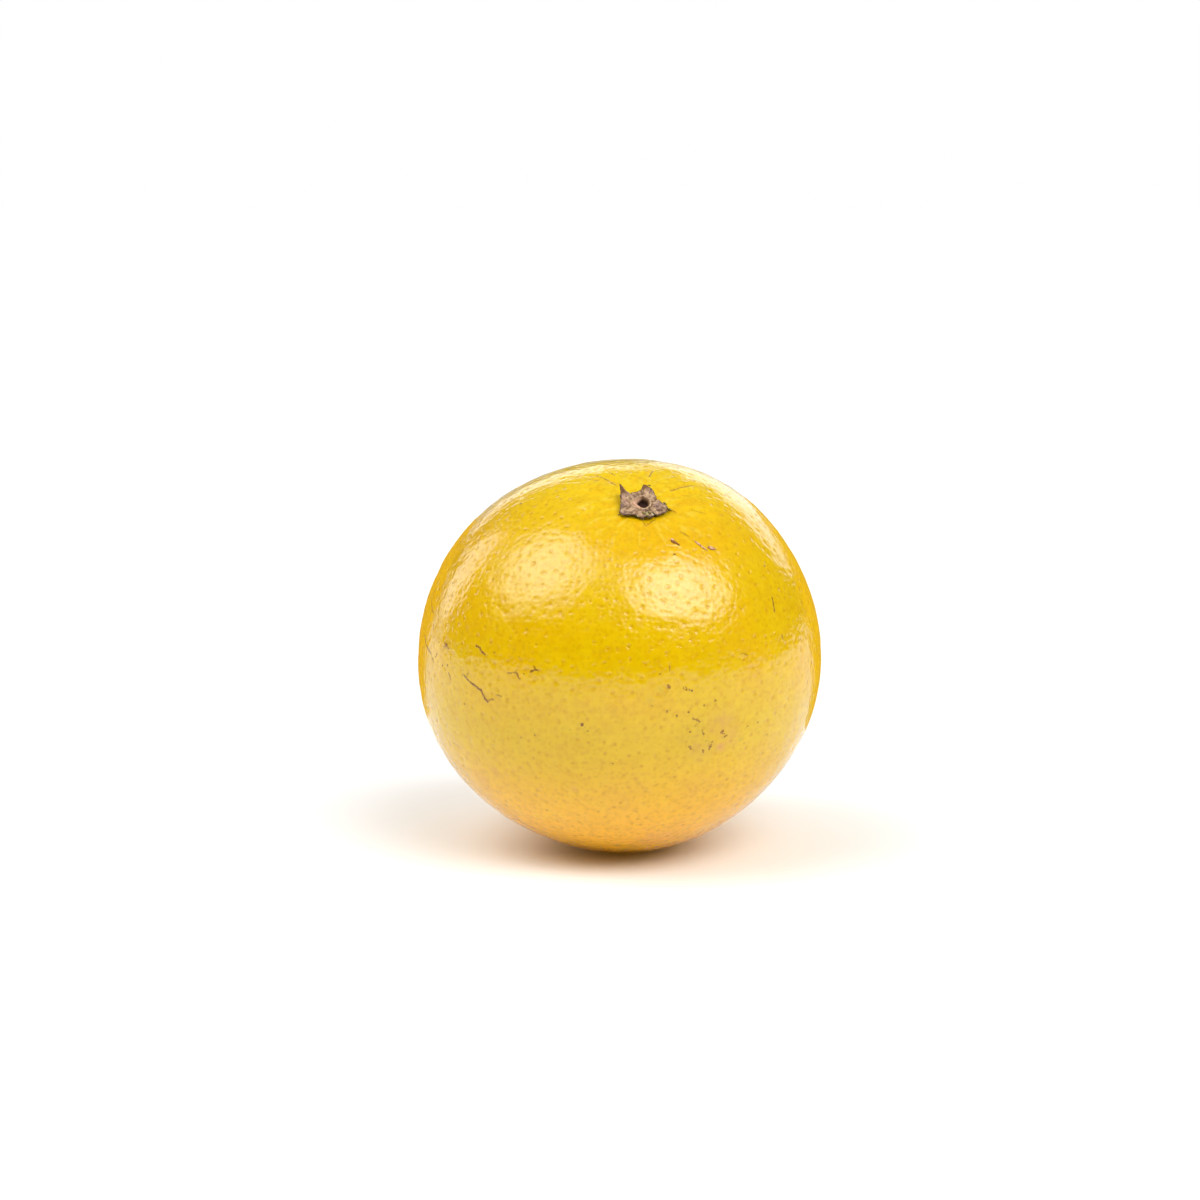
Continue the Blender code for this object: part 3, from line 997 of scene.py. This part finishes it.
def makeCalyxMaterial():
    look = calyxLook
    material, add, shader = newMaterial("driedSepal")
    masks = readMasks(add, look)
    alongFibres = add("Attribute", attribute_name="fibre").outputs["Vector"]
    fibres = {"Vector": alongFibres, "Scale": 1 / look["fibreWidth"], "Detail": 3}
    masks["fibres"] = add("TexNoise", fibres)
    # the lining darkens on the hole's right side as painted shade
    lining = add("Mix", {0: masks["deepSide"], 6: look["lining"], 7: look["paintedShadeLining"]}, data_type="RGBA")
    setInputs(shader, {
        "Base Color": layColours(add, look, "dry", masks, {"holeLining": lining}),
        "Roughness": look["roughness"],
        "Normal": addRelief(add, look, masks),
    })
    return material


calyx.data.materials.append(makeCalyxMaterial())
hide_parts("calyx")
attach(calyx, "root")
print("calyx finished")

# fine loose tissue: fibres that are left in the hole, and one thread on the peel. Each has its radius,
# then points right, back and up from the peel, in mm.
strands = {
    "holeFibres": (
        (0.13, (-1.80, -1.02, 1.62), (-1.30, -1.05, 1.50), (-0.70, -1.25, 1.28), (-0.10, -1.45, 1.05)),
        (0.10, (-1.66, -0.74, 1.58), (-1.20, -0.70, 1.42), (-0.75, -0.75, 1.10), (-0.50, -0.90, 0.70)),
        (0.12, (-1.05, -1.75, 1.45), (-0.45, -1.80, 1.30), (0.20, -1.85, 1.20), (0.75, -1.75, 1.15)),
        (0.08, (-1.45, -1.35, 1.50), (-0.90, -1.42, 1.32), (-0.35, -1.55, 1.10), (0.00, -1.45, 0.80)),
        (0.09, (-0.60, -2.05, 1.40), (-0.20, -1.75, 1.20), (0.10, -1.30, 0.85), (0.20, -1.00, 0.45)),
    ),
    "looseThread": (
        (0.07, (4.40, -0.60, 0.95), (4.90, -0.30, 0.30), (5.34, -0.11, 0.16), (5.90, -0.30, 0.12),
         (6.40, -0.72, 0.07)),
    ),
}
strandLook = {
    "holeFibres": {"pale": "ecc8aa", "deep": "c28a66"},
    "looseThread": {"pale": "9b5a34", "deep": "6d3717"},
    "noise": {"grain": (0.3, 3)},
    "layers": (("grain", 0.35, 0.65, 1.0, "deep"),),
    "relief": (("grain", 0.04),),
    "roughness": 0.8,
    "tipRadius": 0.4,           # of its full radius, at a strand's far end
}


def makeStrands(name):
    look = {**strandLook, **strandLook[name]}
    pieces = []
    for radius, *points in strands[name]:
        deselectAll()
        bpy.ops.curve.primitive_nurbs_path_add()
        strand = bpy.context.active_object
        strand.data.splines.clear()
        spline = strand.data.splines.new("NURBS")
        spline.points.add(len(points) - 1)
        places = overPeel(*np.array(points).T)
        for i, place in enumerate(places):
            spline.points[i].co = (*place, 1)
            spline.points[i].radius = 1 - (1 - look["tipRadius"]) * i / (len(places) - 1)
        spline.order_u = 4
        spline.use_endpoint_u = True
        spline.resolution_u = 12
        strand.data.bevel_depth = radius * mm
        strand.data.bevel_resolution = 3
        strand.data.use_fill_caps = True
        bpy.ops.object.convert(target="MESH")
        bpy.ops.object.mode_set(mode="EDIT")
        bpy.ops.mesh.select_all(action="SELECT")
        bpy.ops.mesh.remove_doubles(threshold=0.001 * mm)
        bpy.ops.mesh.normals_make_consistent(inside=False)
        bpy.ops.object.mode_set(mode="OBJECT")
        pieces.append(bpy.context.active_object)
    joined = joinPieces(pieces, name)

    # dried plant fibre: matt and slightly blotched
    material, add, shader = newMaterial("dried" + name[0].upper() + name[1:])
    masks = readMasks(add, look)
    setInputs(shader, {
        "Base Color": layColours(add, look, "pale", masks),
        "Roughness": look["roughness"],
        "Normal": addRelief(add, look, masks),
    })
    joined.data.materials.append(material)
    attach(joined, "root")


def joinPieces(pieces, name):
    deselectAll()
    for piece in pieces:
        piece.select_set(True)
    bpy.context.view_layer.objects.active = pieces[0]
    if len(pieces) > 1:
        bpy.ops.object.join()
    joined = bpy.context.active_object
    joined.name = name
    joined.data.shade_smooth()
    return joined


for name in strands:
    makeStrands(name)
print("fibres and thread laid")

# Small hard bits, from pixels of the photograph: crumbs of dried tissue on and round the calyx, and
# raised corky crusts on the peel. Each goes from one pixel to another, with its width and height in mm,
# how much it narrows, and its colour's place from dark to pale.
bits = {
    "calyxCrumbs": (
        ((667.4, 509.2), (671.0, 510.0), 0.38, 0.36, 0.3, 0.1),
        ((645.2, 512.8), (648.4, 515.6), 0.56, 0.46, 0.0, 0.40),
        ((648.0, 511.6), (650.6, 513.8), 0.42, 0.36, 0.2, 0.35),
        ((651.0, 513.8), (653.4, 515.6), 0.34, 0.32, 0.2, 0.75),
        ((642.2, 512.6), (644.6, 513.8), 0.36, 0.30, 0.0, 0.05),
        ((654.0, 513.6), (656.6, 515.6), 0.40, 0.34, 0.2, 0.0),
        ((646.4, 516.0), (650.4, 518.4), 0.42, 0.40, 0.3, 0.10),
        ((640.5, 517.4), (644.6, 519.4), 0.36, 0.30, 0.3, 0.15),
        ((637.0, 515.4), (639.4, 516.6), 0.30, 0.24, 0.2, 0.60),
        ((648.2, 485.2), (650.8, 486.0), 0.24, 0.20, 0.2, 0.2),
        ((663.6, 502.4), (666.6, 504.6), 0.26, 0.22, 0.2, 0.2),
        ((618.0, 514.6), (621.0, 515.0), 0.24, 0.18, 0.4, 0.25),
    ),
    "corkCrusts": (
        ((671.2, 540.0), (675.6, 543.2), 0.56, 0.34, 0.1, 0.15),
        ((673.8, 541.6), (679.4, 545.2), 0.38, 0.28, 0.3, 0.05),
        ((670.8, 539.2), (673.6, 540.8), 0.40, 0.42, 0.1, 0.85),
        ((694.8, 541.7), (701.4, 546.4), 0.36, 0.34, 0.2, 0.7),
        ((700.4, 545.8), (706.9, 550.4), 0.28, 0.30, 0.3, 0.6),
        ((708.3, 547.7), (714.6, 549.3), 0.62, 0.40, 0.1, 0.6),
    ),
}
bitLook = {
    # crumbs are dried tissue, and crusts are healed cork
    "calyxCrumbs": {"slot": "dried_calyx", "material": "driedTissueCrumb",
                    "dark": "3c260f", "middle": "85742a", "light": "d8c8a4"},
    "corkCrusts": {"slot": "orange_peel", "material": "healedCork",
                   "dark": "6e3c10", "middle": "9c6030", "light": "e2b690"},
    "noise": {"grain": (0.25, 3)},
    "kept": ("pale",),
    "layers": (("paleness", 0.0, 0.5, 1.0, "middle"), ("paleness", 0.5, 1.0, 1.0, "light")),
    "grainPaleness": 0.2,       # how far the grain shifts the colour
    "relief": (("grain", 0.06),),
    "roughness": 0.75,
    "lumps": ((1.8, 0.45), (4.4, 0.35)),    # bumps in one radius of a bit, and height
    "proud": 0.15,              # share of its height that a bit's middle stands off the surface
    "paintedLightOnTop": 0.7,            # how much paler its top is than its foot: painted light on top, painted shade at the foot
    "hiddenCrusts": 6,
    "crustLength": (0.8, 2.0),  # mm
    "crustWidth": (0.3, 0.7),
    "crustHeight": (0.25, 0.4),
    "seed": 21,
}


def makeBit(start, end, outward, width, height, narrowing):
    length = (end - start).length
    along = (end - start).normalized()
    outward = (outward - along * outward.dot(along)).normalized()
    side = outward.cross(along)
    deselectAll()
    bpy.ops.mesh.primitive_ico_sphere_add(subdivisions=4, radius=1)
    bit = bpy.context.active_object
    ball = readPoints(bit)
    offset = np.array(start) / mm
    rough = 1 + sum(lump * noiseAt(ball * fineness + offset) for fineness, lump in bitLook["lumps"])
    shape = ball * rough[:, None]
    shape[:, 1] *= 1 - narrowing * ball[:, 0]
    shape *= np.array((length / 2 / mm, width / 2, height / 2))
    middle = np.array((start + end) / 2) + np.array(outward) * height * bitLook["proud"] * mm
    writePoints(bit, middle + (shape @ np.array((along, side, outward))) * mm)
    return bit, ball[:, 2] * 0.5 + 0.5


# crusts on the sides that the photograph doesn't show, by a seeded rule
def hiddenCrusts():
    draw = random.Random(bitLook["seed"])
    rows = []
    for _ in range(bitLook["hiddenCrusts"]):
        direction = Vector((draw.uniform(-1, 1), draw.uniform(0.2, 1), draw.uniform(-0.6, 0.8)))
        direction.normalize()
        heading = Vector([draw.gauss(0, 1) for _ in range(3)]).cross(direction).normalized()
        reach = heading * draw.uniform(*bitLook["crustLength"]) / 2 / fruitForm["girthRadius"]
        a, b = (peelTowards((direction + way).normalized()) for way in (reach, -reach))
        width, height = draw.uniform(*bitLook["crustWidth"]), draw.uniform(*bitLook["crustHeight"])
        rows.append((a, direction, b, width, height, draw.uniform(0, 0.4), draw.uniform(0.3, 0.7)))
    return rows


def makeBits(name):
    look = {**bitLook, **bitLook[name]}
    rows = []
    for first, last, *shape in bits[name]:
        start, outward = seenAt(*first, calyx, peel)
        rows.append((start, outward, seenAt(*last, calyx, peel)[0], *shape))
    if name == "corkCrusts":
        rows += hiddenCrusts()

    pieces = []
    for start, outward, end, width, height, narrowing, pale in rows:
        piece, up = makeBit(start, end, outward, width, height, narrowing)
        # each bit's own tone, made paler on top and darker at the foot as painted light and shade
        addAttribute(piece, "pale", np.clip(pale + look["paintedLightOnTop"] * (up - 0.6), 0, 1))
        pieces.append(piece)
    joined = joinPieces(pieces, name)

    material, add, shader = newMaterial(look["material"])
    masks = readMasks(add, look)
    shift = look["grainPaleness"]
    levels = {"Value": masks["grain"], "From Min": 0.3, "From Max": 0.7, "To Min": -shift, "To Max": shift}
    shifted = add("MapRange", levels, interpolation_type="SMOOTHSTEP")
    masks["paleness"] = add("Math", {0: masks["pale"], 1: shifted}, operation="ADD")
    setInputs(shader, {
        "Base Color": layColours(add, look, "dark", masks),
        "Roughness": look["roughness"],
        "Normal": addRelief(add, look, masks),
    })
    joined.data.materials.append(material)
    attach(joined, "root")


for name in bits:
    makeBits(name)
print("crumbs and crusts placed")

# A white floor to the horizon and light from far away: two soft boxes in front and above, a strip at the
# back left, white patches behind, and little light from elsewhere, which leaves the peel's front deep.
studio = {
    # right of the camera, elevation, width, height and roll in degrees, softness of the edge, brightness
    "softBoxes": {
        "key": (44, 47, 46, 32, -20, 0.74, 6.65),
        "left": (-72, 53, 42, 36, 35, 0.80, 4.65),
        "strip": (-128, 20, 20, 36, 0, 0.40, 2.3),
        "rearLeft": (-168, 23, 36, 12, -35, 0.12, 1.9),
        "rearRight": (157, 17, 40, 24, 0, 0.15, 1.7),
        "horizon": (180, 2, 70, 14, 0, 0.50, 0.5),
    },
    # fill light, which the gloss doesn't see
    "fill": {
        "right": (105, 22, 80, 50, 0, 0.50, 0.85),
        "left": (-100, 10, 80, 50, 0, 0.50, 0.45),
        "above": (0, 84, 70, 70, 0, 0.50, 0.55),
    },
    "front": 0.02,              # the sky low down
    "overhead": 0.16,           # and high up
    "skyRise": (0.3, 0.9),      # sines of the elevations that it goes from one to the other between
    # warm cards low behind the fruit, which only its gloss sees: place and radius in mm, finish, colour
    "cards": {
        "cardLeft": ((-66, 84, 36), 39, "deepYellowCard", "eab018"),
        "cardRight": ((56, 70, 36), 40, "yellowCard", "e6b41c"),
    },
    "floorColour": "f4f4f4",
    "floorRoughness": 0.9,
    "floorGlow": 0.08,          # lifts the floor's bounce
    "floorSize": 60,            # metres
    "floorDrop": 0.1,           # mm below the fruit
}


def makeWorld():
    world = bpy.data.worlds.new("studio")
    bpy.context.scene.world = world
    world.use_nodes = True
    world.node_tree.nodes.clear()
    add = partial(addNode, world.node_tree)
    direction = add("TexCoord").outputs["Generated"]

    # a soft-edged oval patch of light on the sky
    def softBox(right, elevation, width, height, roll, softness, brightness):
        right, elevation = math.radians(right), math.radians(elevation)
        facing = Vector((math.sin(right) * math.cos(elevation), -math.cos(right) * math.cos(elevation),
                         math.sin(elevation)))
        side = Vector((math.cos(right), math.sin(right), 0))
        side.rotate(Quaternion(facing, math.radians(roll)))
        over = facing.cross(side)
        axes = (facing, side / math.tan(math.radians(width / 2)), over / math.tan(math.radians(height / 2)))
        ahead, x, y = (add("VectorMath", {0: direction, 1: axis}, operation="DOT_PRODUCT") for axis in axes)
        sideways = add("VectorMath", {0: add("CombineXYZ", {0: x, 1: y})}, operation="LENGTH")
        fromMiddle = add("Math", {0: sideways, 1: ahead}, operation="DIVIDE")
        levels = {"Value": fromMiddle, "From Min": 1 + softness, "From Max": 1 - softness,
                  "To Max": brightness}
        patch = add("MapRange", levels, interpolation_type="SMOOTHSTEP")
        inFront = add("Math", {0: ahead, 1: 0}, operation="GREATER_THAN")
        return add("Math", {0: patch, 1: inFront}, operation="MULTIPLY")

    height = add("SeparateXYZ", {0: direction}).outputs["Z"]
    low, high = studio["skyRise"]
    levels = {"Value": height, "From Min": low, "From Max": high,
              "To Min": studio["front"], "To Max": studio["overhead"]}
    light = add("MapRange", levels, interpolation_type="SMOOTHSTEP")
    for box in studio["softBoxes"].values():
        light = add("Math", {0: light, 1: softBox(*box)}, operation="ADD")
    rays = add("LightPath").outputs
    for box in studio["fill"].values():
        inputs = {0: softBox(*box), 1: rays["Is Diffuse Ray"], 2: light}
        light = add("Math", inputs, operation="MULTIPLY_ADD")

    sky = add("Background", {"Color": "ffffff", "Strength": light})
    plain = add("Background", {"Color": "ffffff", "Strength": 1})
    seen = add("MixShader", {0: rays["Is Camera Ray"], 1: sky, 2: plain})
    add("OutputWorld", {"Surface": seen})


def makeFloor():
    deselectAll()
    bpy.ops.mesh.primitive_plane_add(size=studio["floorSize"], location=(0, 0, -studio["floorDrop"] * mm))
    floor = bpy.context.active_object
    floor.name = "floor"
    # smooth white paper, without shine; its faint glow, seen only by diffuse bounces, is painted light
    material, add, shader = newMaterial("matteWhitePaper")
    glow = {0: add("LightPath").outputs["Is Diffuse Ray"], 1: studio["floorGlow"]}
    setInputs(shader, {
        "Base Color": studio["floorColour"],
        "Roughness": studio["floorRoughness"],
        "Emission Color": "ffffff",
        "Emission Strength": add("Math", glow, operation="MULTIPLY"),
    })
    floor.data.materials.append(material)


def makeCard(name, place, radius, finish, colour):
    place = Vector(place) * mm
    facing = (Vector(fruitCentre) - place).to_track_quat("Z", "Y").to_euler()
    deselectAll()
    bpy.ops.mesh.primitive_circle_add(vertices=48, radius=radius * mm, fill_type="NGON", location=place,
                                      rotation=facing)
    card = bpy.context.active_object
    card.name = name
    # a lit card: only its own glow counts
    material, _, shader = newMaterial(finish)
    setInputs(shader, {"Base Color": "000000", "Emission Color": colour, "Emission Strength": 1})
    card.data.materials.append(material)
    for seenBy in ("camera", "diffuse", "shadow", "transmission"):
        setattr(card, "visible_" + seenBy, False)


makeWorld()
makeFloor()
for name, card in studio["cards"].items():
    makeCard(name, *card)
bpy.context.scene.view_settings.view_transform = "Standard"
print("studio ready")
